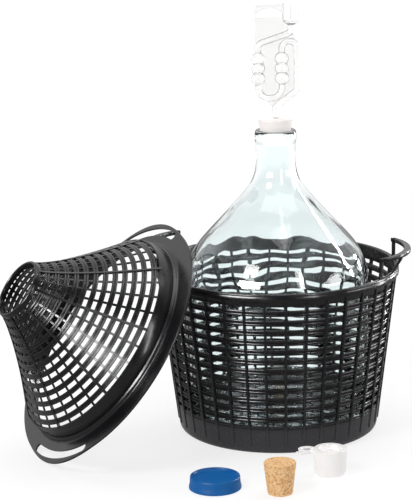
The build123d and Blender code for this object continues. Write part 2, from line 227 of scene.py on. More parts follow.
def black_plastic(name, dark, light, rough_lo, rough_hi, seed=0.0, painted_foot_light=False):
    """Satin moulded polypropylene: faint flow streaks, scuffed patches and a fine grain; optionally the foot band is
    painted paler as painted light from the floor.
    """
    m, nt, b = material(name)
    vec = coords(nt)
    big = noise_tex(nt, vec, 14.0 + seed, 4.0, 0.6)
    c = ramp(nt, [(0.3, dark), (0.75, light)], big.outputs["Fac"])
    if painted_foot_light:
        # painted light: the plain band at the foot is coloured paler than the wall above it, standing in for light
        # bounced up from the floor
        geo = node(nt, "ShaderNodeNewGeometry")
        xyz = node(nt, "ShaderNodeSeparateXYZ")
        nt.links.new(geo.outputs["Position"], xyz.inputs[0])
        foot = ramp(nt, [(0.030, (1, 1, 1)), (0.042, (0, 0, 0))], xyz.outputs["Z"])
        mix = node(nt, "ShaderNodeMix")
        mix.data_type = "RGBA"
        nt.links.new(foot.outputs["Color"], mix.inputs[0])
        nt.links.new(c.outputs["Color"], mix.inputs[6])
        # painted light: paler colour of the foot band, standing in for floor bounce
        mix.inputs[7].default_value = (0.040, 0.039, 0.043, 1)
        nt.links.new(mix.outputs[2], b.inputs["Base Color"])
    else:
        nt.links.new(c.outputs["Color"], b.inputs["Base Color"])
    mid = noise_tex(nt, vec, 55.0 + seed, 5.0, 0.65)
    r = node(nt, "ShaderNodeMapRange")
    r.inputs["To Min"].default_value = rough_lo
    r.inputs["To Max"].default_value = rough_hi
    r.inputs["From Min"].default_value = 0.3
    r.inputs["From Max"].default_value = 0.7
    nt.links.new(mid.outputs["Fac"], r.inputs["Value"])
    nt.links.new(r.outputs["Result"], b.inputs["Roughness"])
    fine = noise_tex(nt, vec, 1600.0, 2.0, 0.5)
    n1 = bump(nt, fine.outputs["Fac"], b, 0.05, 0.0002)
    wav = noise_tex(nt, vec, 60.0, 2.0, 0.5)
    bump(nt, wav.outputs["Fac"], b, 0.08, 0.0008, n1)
    b.inputs["IOR"].default_value = 1.5
    b.inputs["Specular IOR Level"].default_value = 0.42
    return m


# basket plastic: its foot band gets a painted paler tone standing in for light from the floor
basket_mat = black_plastic("basket_plastic", (0.0035, 0.0035, 0.0042), (0.0070, 0.0067, 0.0078), 0.17, 0.32, painted_foot_light=True)
lid_mat = black_plastic("lid_plastic", (0.0040, 0.0040, 0.0050), (0.0080, 0.0077, 0.0092), 0.17, 0.30, 3.0)


def glass_material():
    m, nt, b = material("bottle_glass")
    b.inputs["Base Color"].default_value = (0.905, 0.958, 0.958, 1)
    b.inputs["Roughness"].default_value = 0.0
    b.inputs["IOR"].default_value = 1.5
    b.inputs["Transmission Weight"].default_value = 1.0
    vec = coords(nt, (1, 1, 0.55))
    w = noise_tex(nt, vec, 22.0, 2.0, 0.5)
    n1 = bump(nt, w.outputs["Fac"], b, 0.35, 0.0015)
    seeds = node(nt, "ShaderNodeTexVoronoi", Scale=420.0)
    nt.links.new(vec, seeds.inputs["Vector"])
    c = ramp(nt, [(0.0, (1, 1, 1)), (0.05, (0, 0, 0))], seeds.outputs["Distance"])
    bump(nt, c.outputs["Color"], b, 0.04, 0.0003, n1)
    return m


glass_mat = glass_material()


PLATE_TURN = 7.7    # degrees, turn of the airlock's flat plate about Z


def clear_plastic():
    m, nt, b = material("airlock_plastic")
    # the flat plate is a little milky beside the clear tubes: its faces point along one direction
    geo = node(nt, "ShaderNodeNewGeometry")
    dot = node(nt, "ShaderNodeVectorMath")
    dot.operation = "DOT_PRODUCT"
    dot.inputs[1].default_value = (math.sin(math.radians(PLATE_TURN)), -math.cos(math.radians(PLATE_TURN)), 0.0)
    nt.links.new(geo.outputs["True Normal"], dot.inputs[0])
    flat = node(nt, "ShaderNodeMath")
    flat.operation = "ABSOLUTE"
    nt.links.new(dot.outputs["Value"], flat.inputs[0])
    tone = ramp(nt, [(0.9985, (0.975, 0.971, 0.969)), (0.9998, (0.855, 0.853, 0.850))], flat.outputs["Value"])
    nt.links.new(tone.outputs["Color"], b.inputs["Base Color"])
    b.inputs["IOR"].default_value = 1.46
    b.inputs["Transmission Weight"].default_value = 0.92
    vec = coords(nt)
    w = noise_tex(nt, vec, 60.0, 2.0, 0.5)
    r = node(nt, "ShaderNodeMapRange")
    r.inputs["To Min"].default_value = 0.02
    r.inputs["To Max"].default_value = 0.10
    nt.links.new(w.outputs["Fac"], r.inputs["Value"])
    nt.links.new(r.outputs["Result"], b.inputs["Roughness"])
    bump(nt, w.outputs["Fac"], b, 0.12, 0.0006)
    return m


airlock_mat = clear_plastic()


def soft_plastic(name, c0, c1, rough, grain, sub=0.0, spec=0.5, painted_glow=0.0):
    m, nt, b = material(name)
    vec = coords(nt)
    w = noise_tex(nt, vec, 45.0, 4.0, 0.6)
    c = ramp(nt, [(0.25, c0), (0.8, c1)], w.outputs["Fac"])
    nt.links.new(c.outputs["Color"], b.inputs["Base Color"])
    r = node(nt, "ShaderNodeMapRange")
    r.inputs["To Min"].default_value = rough - 0.06
    r.inputs["To Max"].default_value = rough + 0.08
    nt.links.new(w.outputs["Fac"], r.inputs["Value"])
    nt.links.new(r.outputs["Result"], b.inputs["Roughness"])
    fine = noise_tex(nt, vec, 1100.0, 3.0, 0.6)
    bump(nt, fine.outputs["Fac"], b, grain, 0.0002)
    b.inputs["Subsurface Weight"].default_value = sub
    b.inputs["Subsurface Radius"].default_value = (0.004, 0.003, 0.0025)
    b.inputs["Specular IOR Level"].default_value = spec
    # painted light: emission in the part's own colour makes it glow, lifting its shaded sides
    if painted_glow:
        nt.links.new(c.outputs["Color"], b.inputs["Emission Color"])
        b.inputs["Emission Strength"].default_value = painted_glow
    return m


# painted light: the bung glows by emission to lighten its shaded sides
bung_mat = soft_plastic("bung_rubber", (0.78, 0.735, 0.72), (0.82, 0.78, 0.765), 0.52, 0.25, 0.08, 0.4, 0.30)
cap_mat = soft_plastic("cap_plastic", (0.0001, 0.120, 0.405), (0.0002, 0.140, 0.450), 0.38, 0.10, 0.0, 0.22)
# painted light: the plug stopper glows by emission to lighten its shaded sides
stopper_mat = soft_plastic("stopper_plastic", (0.88, 0.86, 0.855), (0.92, 0.905, 0.90), 0.36, 0.10, 0.10, 0.5, 0.20)


def cork_material():
    """Agglomerated cork: packed granules of differing tan, dark bark specks and open pores."""
    m, nt, b = material("cork_agglomerate")
    vec = coords(nt)
    wob = noise_tex(nt, vec, 260.0, 3.0, 0.6)
    mixv = node(nt, "ShaderNodeMixRGB", blend_type="ADD")
    mixv.inputs["Fac"].default_value = 0.0022
    nt.links.new(vec, mixv.inputs["Color1"])
    nt.links.new(wob.outputs["Color"], mixv.inputs["Color2"])
    vor = node(nt, "ShaderNodeTexVoronoi", Scale=520.0)
    nt.links.new(mixv.outputs["Color"], vor.inputs["Vector"])
    sep = nt.nodes.new("ShaderNodeSeparateColor")
    nt.links.new(vor.outputs["Color"], sep.inputs["Color"])
    tone = ramp(nt, [(0.0, (0.64, 0.31, 0.11)), (0.2, (0.88, 0.49, 0.205)), (0.65, (1.0, 0.61, 0.29)),
                     (1.0, (1.0, 0.72, 0.41))], sep.outputs["Red"])
    big = noise_tex(nt, vec, 420.0, 4.0, 0.7)
    speck = ramp(nt, [(0.63, (0, 0, 0)), (0.71, (1, 1, 1))], big.outputs["Fac"])
    mix = node(nt, "ShaderNodeMixRGB")
    nt.links.new(speck.outputs["Color"], mix.inputs["Fac"])
    nt.links.new(tone.outputs["Color"], mix.inputs["Color1"])
    mix.inputs["Color2"].default_value = (0.24, 0.115, 0.05, 1)
    nt.links.new(mix.outputs["Color"], b.inputs["Base Color"])
    b.inputs["Roughness"].default_value = 0.82
    b.inputs["Specular IOR Level"].default_value = 0.25
    edge = node(nt, "ShaderNodeTexVoronoi", Scale=520.0, feature="DISTANCE_TO_EDGE")
    nt.links.new(mixv.outputs["Color"], edge.inputs["Vector"])
    er = ramp(nt, [(0.0, (0, 0, 0)), (0.12, (1, 1, 1))], edge.outputs["Distance"])
    n1 = bump(nt, er.outputs["Color"], b, 0.5, 0.0004)
    inv = ramp(nt, [(0.58, (1, 1, 1)), (0.70, (0, 0, 0))], big.outputs["Fac"])
    bump(nt, inv.outputs["Color"], b, 0.6, 0.0006, n1)
    return m


cork_mat = cork_material()

# ------------------------------------------------------------------ basket
RIM_Z, RIM_R = 217.8, 158.93
BAND_TOP = 38.3
N_SLATS, SLAT_PITCH, SLAT_H, SLAT_T = 12, 13.1, 8.1, 3.6


def wall_r(z):
    return 130.8 + 0.1235 * z


basket = Shape()
tub = [(0, 0), (40, 0), (100, 0), (119, 0), (123.4, 0.15), (126.4, 0.9), (128.4, 2.4), (129.6, 4.4),
       (130.3, 7.0), (wall_r(11) - 1.2, 11.0)]
tub += [(wall_r(z) - 1.2, z) for z in (18.0, 26.0, BAND_TOP - 5.0)]
g = BAND_TOP - 3.7
tub += [(wall_r(g - 0.7) - 1.25, g - 0.7), (wall_r(g) - 2.1, g - 0.1), (wall_r(g) - 2.1, g + 0.1),
        (wall_r(g + 0.8) - 1.25, g + 0.8), (wall_r(g + 2.2) - 1.05, g + 2.2),
        (wall_r(BAND_TOP) - 1.3, BAND_TOP - 0.6), (wall_r(BAND_TOP) - 2.0, BAND_TOP),
        (wall_r(BAND_TOP) - 4.2, BAND_TOP), (wall_r(BAND_TOP) - 4.7, BAND_TOP - 0.6)]
tub += [(wall_r(z) - 4.7, z) for z in (26.0, 14.0)]
tub += [(wall_r(9) - 5.6, 9.4), (wall_r(8) - 8.0, 7.0), (wall_r(6) - 11.5, 6.0), (60, 6.0), (0, 6.0)]
basket.add(*revolve(tub, 288))


def lobes(z0, z1, deep=1.25):
    """Face of a slat: two soft lobes with a groove between them."""
    mid, out = (z0 + z1) / 2, []
    for a, b in ((z0 + 0.1, mid - 0.28), (mid + 0.28, z1 - 0.1)):
        c, h = (a + b) / 2, (b - a) / 2
        for i in range(9):
            q = -1 + 2 * i / 8
            z = c + h * q
            out.append((wall_r(z) - 1.25 - deep * (1 - math.sqrt(max(0.0, 1 - q * q))), z))
    return out


for i in range(N_SLATS):
    za = BAND_TOP + (SLAT_PITCH - SLAT_H) + i * SLAT_PITCH
    zt = za + SLAT_H
    prof = lobes(za, zt)
    prof += [(wall_r(zt) - 1.3 - SLAT_T + 0.5, zt - 0.15), (wall_r(zt) - 1.3 - SLAT_T, zt - 0.7),
             (wall_r(za) - 1.3 - SLAT_T, za + 0.7), (wall_r(za) - 1.3 - SLAT_T + 0.5, za + 0.15)]
    basket.add(*revolve(prof, 288))
zb0, zr0 = RIM_Z - 17.3, RIM_Z - 9.8
rim = [(wall_r(zb0) - 4.6, zb0 + 0.5), (wall_r(zb0) - 4.1, zb0), (wall_r(zb0) - 1.9, zb0),
       (wall_r(zb0) - 1.35, zb0 + 0.5), (wall_r(zr0) - 1.3, zr0 - 0.8), (wall_r(zr0) - 0.7, zr0),
       (RIM_R - 0.9, zr0), (RIM_R - 0.25, zr0 + 0.25), (RIM_R, zr0 + 0.9),
       (RIM_R, RIM_Z - 3.6), (RIM_R - 0.35, RIM_Z - 3.1), (RIM_R - 0.35, RIM_Z - 2.7), (RIM_R, RIM_Z - 2.2),
       (RIM_R - 0.05, RIM_Z - 0.9), (RIM_R - 0.35, RIM_Z - 0.35), (RIM_R - 0.9, RIM_Z - 0.05),
       (RIM_R - 1.9, RIM_Z), (RIM_R - 2.35, RIM_Z - 0.45), (RIM_R - 2.75, RIM_Z - 0.75),
       (RIM_R - 3.15, RIM_Z - 0.45), (RIM_R - 3.6, RIM_Z), (RIM_R - 4.9, RIM_Z - 0.05),
       (RIM_R - 5.5, RIM_Z - 0.4), (RIM_R - 5.8, RIM_Z - 1.0), (RIM_R - 5.9, RIM_Z - 7.0),
       (wall_r(zr0) - 4.7, zr0 - 0.6)]
basket.add(*revolve(rim, 360))
# ribs, rounded along their edges and run out near the foot
for k in range(36):
    secs = []
    for z, proud, wid in ((11.3, -0.9, 2.6), (12.0, -0.1, 3.2), (13.6, 0.0, 3.6), (60.0, 0.0, 3.6), (120.0, 0.0, 3.5),
                          (170.0, 0.0, 3.5), (zr0 + 0.6, 0.0, 3.4)):
        ro, ri = wall_r(z) + proud, wall_r(z) - 4.2
        c = 0.55
        secs.append([(ri, -wid / 2, z), (ro - c, -wid / 2, z), (ro - 0.16, -wid / 2 + 0.16, z), (ro, -wid / 2 + c, z),
                     (ro, wid / 2 - c, z), (ro - 0.16, wid / 2 - 0.16, z), (ro - c, wid / 2, z), (ri, wid / 2, z)])
    v, f = loft(secs)
    basket.add(v, f, rot_z(math.radians(10.0 * k)))

HALF, HZ, STRAP_H, HANDLE_C, HANDLE_R = 21.8, 244.4, 5.5, -5.0, 175.0


def bulge(t):
    return math.cos(math.radians(min(abs(t) / HALF, 1.0) * 90.0)) ** 0.8 if abs(t) < HALF else 0.0


for side in (0.0, math.pi):
    secs = []
    n = 56
    for i in range(n + 1):
        t = -HALF + 2 * HALF * i / n
        k = bulge(t)
        ro = 157.6 + (HANDLE_R - 157.6) * k
        ri = ro - 5.0 - 3.5 * k
        a = math.radians(t)
        zt, zl = HZ, HZ - STRAP_H
        # top face with a raised bead along each edge, rounded outer nose, plain underside
        ring = [(ri, zl + 0.7), (ri + 0.6, zl), (ro - 1.2, zl), (ro - 0.3, zl + 0.5), (ro, zl + 1.5), (ro, zt - 1.5),
                (ro - 0.3, zt - 0.5), (ro - 1.0, zt - 0.05), (ro - 1.5, zt - 0.1), (ro - 1.9, zt - 0.45),
                (ri + 1.7, zt - 0.45), (ri + 1.3, zt - 0.1), (ri + 0.8, zt), (ri + 0.2, zt - 0.4), (ri, zt - 0.9)]
        secs.append([(r * math.cos(a), r * math.sin(a), z) for r, z in ring])
    v, f = loft(secs)
    basket.add(v, f, rot_z(side + math.radians(HANDLE_C)))
    for t, r_lo, r_hi, wid, th in ((-HALF + 0.9, 157.7, 157.9, 5.0, 4.2), (HALF - 0.9, 157.7, 157.9, 5.0, 4.2),
                                   (-7.5, 157.8, 170.0, 3.8, 4.0), (7.5, 157.8, 170.0, 3.8, 4.0)):
        secs = []
        z_lo, z_hi = RIM_Z - 3.0, (HZ - 0.8 if r_hi < 160 else HZ - STRAP_H + 1.4)
        for q in range(9):
            s = q / 8
            z = z_lo + (z_hi - z_lo) * s
            ro = r_lo + (r_hi - r_lo) * s * s * (3 - 2 * s)
            w = wid * (1 + 0.35 * (2 * s - 1) ** 4)
            secs.append([(x, y, z) for x, y in rounded(th, w, 0.6, 2, ro - th / 2, 0)])
        v, f = loft(secs)
        basket.add(v, f, rot_z(side + math.radians(HANDLE_C + t)))
basket.make("basket_moulding", "basket", ["basket"], basket_mat, 35)

# ------------------------------------------------------------------ bottle
BOTTLE_Z0, LIP_Z = 6.0, 396.0
sh = [(119.0, 190.0), (118.9, 203.0), (117.6, 214.8), (111.5, 231.4), (101.7, 247.2), (87.2, 264.0), (72.3, 279.9),
      (57.6, 296.2), (43.8, 312.3), (32.9, 326.8), (27.4, 341.0), (25.7, 354.0), (25.7, 368.0)]
shoulder = catmull(sh, 6)
zb = BOTTLE_Z0
foot = [(0, zb + 5.0), (30, zb + 4.2), (60, zb + 1.8), (84, zb + 0.4), (94, zb), (100, zb)]
for i in range(1, 9):
    a = math.radians(-90 + 90 * i / 8)
    foot.append((100 + 19.0 * math.cos(a), zb + 21 + 21.0 * math.sin(a)))
outer = foot + [(119.0, z) for z in (50.0, 90.0, 130.0, 165.0)] + [tuple(p) for p in shoulder]
outer += [(25.7, LIP_Z - 17.5), (25.9, LIP_Z - 16.2), (26.5, LIP_Z - 15.0), (26.8, LIP_Z - 13.5), (26.8, LIP_Z - 9.0),
          (26.75, LIP_Z - 4.0), (26.4, LIP_Z - 2.0), (25.5, LIP_Z - 0.6), (24.2, LIP_Z), (21.2, LIP_Z)]
mouth = [(20.3, LIP_Z - 0.3), (19.95, LIP_Z - 1.0), (18.95, LIP_Z - 11.0), (18.9, LIP_Z - 16.0), (18.9, 360.0)]
inn = []
sp = np.array(shoulder)
for i in range(len(sp) - 1, -1, -1):
    a, b = sp[max(i - 1, 0)], sp[min(i + 1, len(sp) - 1)]
    d = (b - a) / np.linalg.norm(b - a)
    r, z = sp[i]
    k = min(max((60.0 - r) / 30.0, 0.0), 1.0)
    w = 3.2 + 3.4 * k * k * (3 - 2 * k)
    if z < 358:
        inn.append((max(r - w * d[1], 18.9), z + w * d[0]))
inner = mouth + inn + [(115.8, z) for z in (165.0, 130.0, 90.0, 50.0)]
for i in range(8, -1, -1):
    a = math.radians(-90 + 90 * i / 8)
    inner.append((98 + 17.8 * math.cos(a), zb + 23.5 + 18.5 * math.sin(a)))
inner += [(84, zb + 5.4), (60, zb + 6.8), (30, zb + 9.2), (0, zb + 10.0)]


def glass_warp(r, z, t):
    # blown glass: the wall's inside wanders slowly, most on the body and shoulder
    amp = 0.85 * min(max((r - 24.0) / 40.0, 0.0), 1.0)
    return amp * (np.sin(3 * t + z * 0.031 + 0.7) * 0.5 + np.sin(5 * t - z * 0.052 + 2.1) * 0.32
                  + np.sin(9 * t + z * 0.083) * 0.22 + np.sin(17 * t - z * 0.061 + 0.4) * 0.10 + np.sin(2 * t + z * 0.11 + 1.0) * 0.30)


bottle = Shape()
n = 256
vo, fo = revolve(outer, n, closed=False)
vi, fi = revolve(inner, n, closed=False, warp=glass_warp)
bottle.add(vo, fo)
base = bottle.n
bottle.add(vi, fi)
# join the mouth: last ring of the outside to the first ring of the inside
lo = base - n
bottle.f.extend([(lo + i, lo + (i + 1) % n, base + (i + 1) % n, base + i) for i in range(n)])
bottle.make("carboy_glass", "bottle", ["bottle"], glass_mat, 60)

# ------------------------------------------------------------------ lid
FLANGE_R, STEP_R, EAR_R, EAR_ANG, EAR_HALF = 167.5, 141.0, 172.5, 199.0, 27.0
SLOT_R0, SLOT_R1, SLOT_HALF = 155.0, 165.5, 21.0
R1, H1, R0, H0, POW = 136.3, 23.5, 37.7, 142.6, 1.22
LID_T = 2.6


def cone_r(h):
    u = (H0 - h) / (H0 - H1)
    return R0 + (R1 - R0) * max(u, 0.0) ** POW


hs = np.linspace(H1, H0, 401)
rs = np.array([cone_r(h) for h in hs])
arc = np.concatenate([[0], np.cumsum(np.hypot(np.diff(hs), np.diff(rs)))])
total = arc[-1]


def station(s):
    """(r, h, normal r, normal h) of the cone's outer surface at arc length s."""
    h = float(np.interp(s, arc, hs))
    e = 0.3
    d = (cone_r(min(h + e, H0 - 0.01)) - cone_r(min(h - e, H0 - 0.6))) / (min(h + e, H0 - 0.01) - min(h - e, H0 - 0.6))
    k = math.hypot(1.0, d)
    return cone_r(h), h, 1.0 / k, -d / k


lid = Shape()
pitch = 0.0776 * total
gap = 0.40 * pitch
for i in range(13):
    s0 = gap + i * pitch
    s1 = min(s0 + pitch - gap, total)
    prof = []
    for c in (-0.5, 0.5):
        for q in range(9):
            y = -1 + 2 * q / 8
            x = c + 0.47 * y
            r, h, nr, nh = station((s0 + s1) / 2 + x * (s1 - s0) / 2)
            lift = -0.95 * (1 - math.sqrt(max(0.0, 1 - y * y)))
            prof.append((r + lift * nr, h + lift * nh))
    for x in (0.86, -0.86):
        r, h, nr, nh = station((s0 + s1) / 2 + x * (s1 - s0) / 2)
        prof.append((r - LID_T * nr, h - LID_T * nh))
    lid.add(*revolve(prof, 288))
top = [(R0 - 2.2, H0 - 6.0), (R0 + 0.6, H0 - 6.6), (R0 + 2.0, H0 - 5.6), (R0 + 1.9, H0 - 2.0), (R0 + 1.5, H0 + 0.2), (R0 + 0.7, H0 + 1.2),
       (R0 - 0.4, H0 + 1.55), (R0 - 1.3, H0 + 1.4), (R0 - 2.0, H0 + 0.6), (R0 - 2.3, H0 - 1.0)]
lid.add(*revolve(top, 192))
# smooth band, step, flange: the flange's edge follows the two ears
n = 720
ang = np.arange(n) * 2 * math.pi / n


def rim_at(a):
    out = np.full_like(a, FLANGE_R)
    for c in (EAR_ANG, EAR_ANG + 180.0):
        d = (np.degrees(a) - c + 180.0) % 360.0 - 180.0
        x = np.clip(np.abs(d) / (EAR_HALF + 2.0), 0, 1)
        out += (EAR_R - FLANGE_R) * (np.cos(x * math.pi) * 0.5 + 0.5) ** 0.75
    return out


edge = rim_at(ang)
cols = []       # each column: function of angle -> (r, z)


def fixed(r, z):
    cols.append((np.full(n, float(r)), np.full(n, float(z))))


for r, z in ((R1 - 2.4, H1 - 0.4), (R1 - 1.2, H1 + 0.25), (R1, H1 - 0.1), (R1 + 1.6, 19.0), (R1 + 3.2, 13.5), (STEP_R - 1.5, 5.2),
             (STEP_R - 0.6, 4.2), (STEP_R + 0.2, 3.6), (STEP_R + 0.7, 2.2), (STEP_R + 1.3, 0.7), (STEP_R + 2.2, 0.08), (STEP_R + 4.5, 0.0)):
    fixed(r, z)
i_top0 = len(cols)
for x in (0.0, 0.5, 1.0):
    fixed(148.5 + (SLOT_R0 - 148.5) * x, 0.0)
i_s0 = len(cols) - 1
fixed(SLOT_R1, 0.0)
i_s1 = len(cols) - 1
cols.append((edge - 1.3, np.full(n, 0.0)))
cols.append((edge - 0.45, np.full(n, -0.2)))
cols.append((edge, np.full(n, -0.9)))
cols.append((edge, np.full(n, -2.1)))
cols.append((edge - 0.5, np.full(n, -2.6)))
cols.append((edge - 1.4, np.full(n, -2.6)))
fixed(SLOT_R1, -2.6)
i_b1 = len(cols) - 1
fixed(SLOT_R0, -2.6)
i_b0 = len(cols) - 1
for r, z in ((148.5, -2.6), (STEP_R + 0.6, -2.6), (STEP_R - 1.2, -2.2), (STEP_R - 2.4, 0.4), (STEP_R - 3.6, 4.0), (R1 + 0.4, 13.4), (R1 - 1.4, 18.6)):
    fixed(r, z)
m = len(cols)
fv = np.zeros((m, n, 3))
for j, (r, z) in enumerate(cols):
    fv[j] = np.stack([r * np.cos(ang), r * np.sin(ang), z], 1)


def in_slot(a):
    return any(abs((math.degrees(a) - c + 180.0) % 360.0 - 180.0) < SLOT_HALF + 1.4 for c in (EAR_ANG, EAR_ANG + 180.0))


ff = []
for j in range(m):
    k = (j + 1) % m
    for i in range(n):
        q = (i + 1) % n
        mid_a = ang[i] + math.pi / n
        if j in (i_s0, i_b1) and in_slot(mid_a):
            continue
        ff.append((j * n + i, j * n + q, k * n + q, k * n + i))
fvv = fv.reshape(-1, 3)
# walls and round ends of the slots
slot_edges = []
for c in (EAR_ANG, EAR_ANG + 180.0):
    idx = [i for i in range(n) if abs((math.degrees(ang[i] + math.pi / n) - c + 180.0) % 360.0 - 180.0) < SLOT_HALF + 1.4]
    # order them along the slot
    idx.sort(key=lambda i: (math.degrees(ang[i]) - c + 180.0) % 360.0 - 180.0)
    seg = idx + [(idx[-1] + 1) % n]
    rm, hw = (SLOT_R0 + SLOT_R1) / 2, (SLOT_R1 - SLOT_R0) / 2
    # pull the rows together at both ends, so that the slot's ends are round
    for i in seg:
        d = (math.degrees(ang[i]) - c + 180.0) % 360.0 - 180.0
        run = (SLOT_HALF + 1.4 - abs(d)) * math.pi / 180 * rm
        w = hw if run >= hw else math.sqrt(max(hw * hw - (hw - run) ** 2, 0.0))
        for j, sgn in ((i_s0, -1), (i_b0, -1), (i_s1, 1), (i_b1, 1)):
            r = rm + sgn * w
            fvv[j * n + i, 0] = r * math.cos(ang[i])
            fvv[j * n + i, 1] = r * math.sin(ang[i])
    for a_, b_ in zip(seg[:-1], seg[1:]):
        ff.append((i_s0 * n + a_, i_s0 * n + b_, i_b0 * n + b_, i_b0 * n + a_))
        ff.append((i_s1 * n + a_, i_b1 * n + a_, i_b1 * n + b_, i_s1 * n + b_))
    for e_ in (seg[0], seg[-1]):
        ff.append((i_s0 * n + e_, i_b0 * n + e_, i_b1 * n + e_, i_s1 * n + e_))
lid.add(fvv, ff)
# radial ribs: thin ones under the hoops, every fourth one standing proud
for k in range(36):
    strong = k % 4 == 0
    secs = []
    for q in range(25):
        s = total * (q / 24) * 0.995
        r, h, nr, nh = station(s)
        up, dn, wid = (0.75, -2.2, 3.1) if strong else (-0.75, -2.3, 2.9)
        if q == 0:
            h -= 1.2
            r += 0.6
        a, b = (r + up * nr, h + up * nh), (r + dn * nr, h + dn * nh)
        c = 0.35
        secs.append([(b[0], -wid / 2, b[1]), (a[0] - c * nr, -wid / 2, a[1] - c * nh), (a[0], -wid / 2 + c, a[1]),
                     (a[0], wid / 2 - c, a[1]), (a[0] - c * nr, wid / 2, a[1] - c * nh), (b[0], wid / 2, b[1])])
    v, f = loft(secs)
    lid.add(v, f, rot_z(math.radians(8.0 + 10.0 * k)))
tilt, az = math.radians(53.99), math.radians(211.08)
w_ = Vector((math.sin(tilt) * math.cos(az), math.sin(tilt) * math.sin(az), math.cos(tilt)))
u_ = (Vector((0, 0, 1)) - w_ * w_.z).normalized()
v_ = w_.cross(u_)
LIDM = np.eye(4)
LIDM[:3, 0], LIDM[:3, 1], LIDM[:3, 2] = u_, v_, w_
LIDM[:3, 3] = (-209.9, -109.4, 139.5)
lid.make("cone_cover", "lid", ["cone_lid"], lid_mat, 35, matrix=LIDM, merge=0.001)

# ------------------------------------------------------------------ bung
B0, B1 = 377.5, 411.5
slope = (19.85 - 16.7) / (396.0 - 377.5)
prof = [(4.3, B0 + 0.4), (4.8, B0), (15.6, B0), (16.3, B0 + 0.3), (16.75, B0 + 1.0), (16.7 + slope * 10, B0 + 10),
        (19.85, 396.0), (20.6, 399.5), (21.6, 404.5), (22.45, 409.4), (22.6, 410.3), (22.3, 411.0), (21.5, 411.45),
        (20.6, 411.5), (16.0, 411.2), (8.0, 411.15), (5.4, 411.3), (4.6, 411.2), (4.3, 410.8)]
bung = Shape()
bung.add(*revolve(prof, 128))
bung.make("bored_bung", "bung", ["bung"], bung_mat, 45)

# ------------------------------------------------------------------ push-on cap
CAP, CORK, PLUG = (-51.7, -257.8), (29.4, -270.8), (84.6, -197.0)
prof = [(0, 12.3), (10, 12.3), (22, 12.35), (26.4, 12.6), (27.6, 13.2), (28.3, 14.2), (28.8, 15.2), (29.4, 15.75), (30.0, 15.8),
        (30.5, 15.4), (30.75, 14.6), (30.9, 13.0), (31.05, 8.6), (31.3, 6.6), (31.9, 4.4), (32.2, 3.0), (32.3, 1.4), (32.1, 0.5),
        (31.5, 0.05), (30.6, 0.05), (30.1, 0.5), (29.8, 2.6), (29.3, 3.2), (29.2, 4.4), (28.7, 9.6), (28.0, 10.5),
        (26.8, 10.75), (0, 10.75)]
cap = Shape()
cap.add(*revolve(prof, 160))
cap.make("push_on_cap", "push_cap", ["push_cap"], cap_mat, 40,
         matrix=np.array([[1, 0, 0, CAP[0]], [0, 1, 0, CAP[1]], [0, 0, 1, 0], [0, 0, 0, 1]]))

# ------------------------------------------------------------------ cork
random.seed(7)
cork = Shape()
pts = [(0, 0.0)] + [(r, 0.0) for r in (4, 8, 12, 14.2)] + [(15.0, 0.35), (15.45, 1.1)]
pts += [(15.45 + (19.85 - 15.45) * z / 37.4, 1.1 + z) for z in (2, 5, 8, 12, 16, 20, 24, 28, 32, 35.5)]
pts += [(19.8, 38.6), (19.5, 39.5), (18.8, 40.0)] + [(r, 40.0) for r in (15, 11, 7, 3)] + [(0, 40.0)]
v, f = revolve(pts, 120)
from mathutils import noise as mn
for i in range(len(v)):
    p = Vector(v[i])
    nval = mn.noise(p * 0.42) * 0.22 + mn.noise(p * 1.3) * 0.12
    r = math.hypot(p.x, p.y)
    if r > 14.9 and 1.0 < p.z < 39.0:
        k = (r - abs(nval)) / r
        v[i][0] *= k
        v[i][1] *= k
    elif p.z > 39.9:
        v[i][2] -= abs(nval) * 0.9
cork.add(v, f)
cork.make("cork_bung", "cork", ["cork"], cork_mat, 60,
          matrix=np.array([[1, 0, 0, CORK[0]], [0, 1, 0, CORK[1]], [0, 0, 1, 0], [0, 0, 0, 1]]))

# ------------------------------------------------------------------ plug stopper
plug = Shape()
prof = [(0, 4.0), (12.2, 4.0), (12.8, 3.4), (13.0, 0.6), (13.6, 0.05), (15.2, 0.05), (17.2, 0.8), (18.6, 2.6), (19.2, 5.0), (19.6, 10.0),
        (20.2, 22.0), (20.75, 32.6), (20.6, 33.5), (20.0, 33.95), (15.0, 33.95), (14.3, 33.6), (13.9, 32.8), (13.6, 29.6),
        (13.1, 29.1), (4.2, 29.0), (3.6, 29.3), (3.2, 31.2), (2.8, 31.8), (2.0, 32.0), (0, 32.0)]
plug.add(*revolve(prof, 128))


def ring_plate(cx, cy, rx, ry, ix, iy, z0, z1, n=64):
    """Flat eye: an elliptical ring with rounded edges."""
    secs = []
    for i in range(n):
        a = 2 * math.pi * i / n
        ox, oy = math.cos(a), math.sin(a)
        e = 0.6
        ring = [(1, z0 + e, 0), (1, z1 - e, 0), (1, z1, -e), (0, z1, e), (0, z1 - e, 0), (0, z0 + e, 0), (0, z0, e), (1, z0, -e)]
        secs.append([(cx + ((rx if s else ix) + d) * ox, cy + ((ry if s else iy) + d) * oy, z) for s, z, d in ring])
    return loft(secs, cap=False, loop=True)


plug.add(*ring_plate(-28.5, 6.5, 11.0, 8.4, 7.2, 4.9, 29.6, 32.2))


def slab(outline, z0, z1, e=0.5):
    """Flat plate with softened edges over a convex outline."""
    o = np.array(outline, float)
    c = o.mean(0)
    d = o - c
    ln = np.linalg.norm(d, axis=1)[:, None]
    i = o - d / ln * e
    rows = [np.c_[i, np.full(len(o), z0)], np.c_[o, np.full(len(o), z0 + e)], np.c_[o, np.full(len(o), z1 - e)], np.c_[i, np.full(len(o), z1)]]
    return loft(rows)


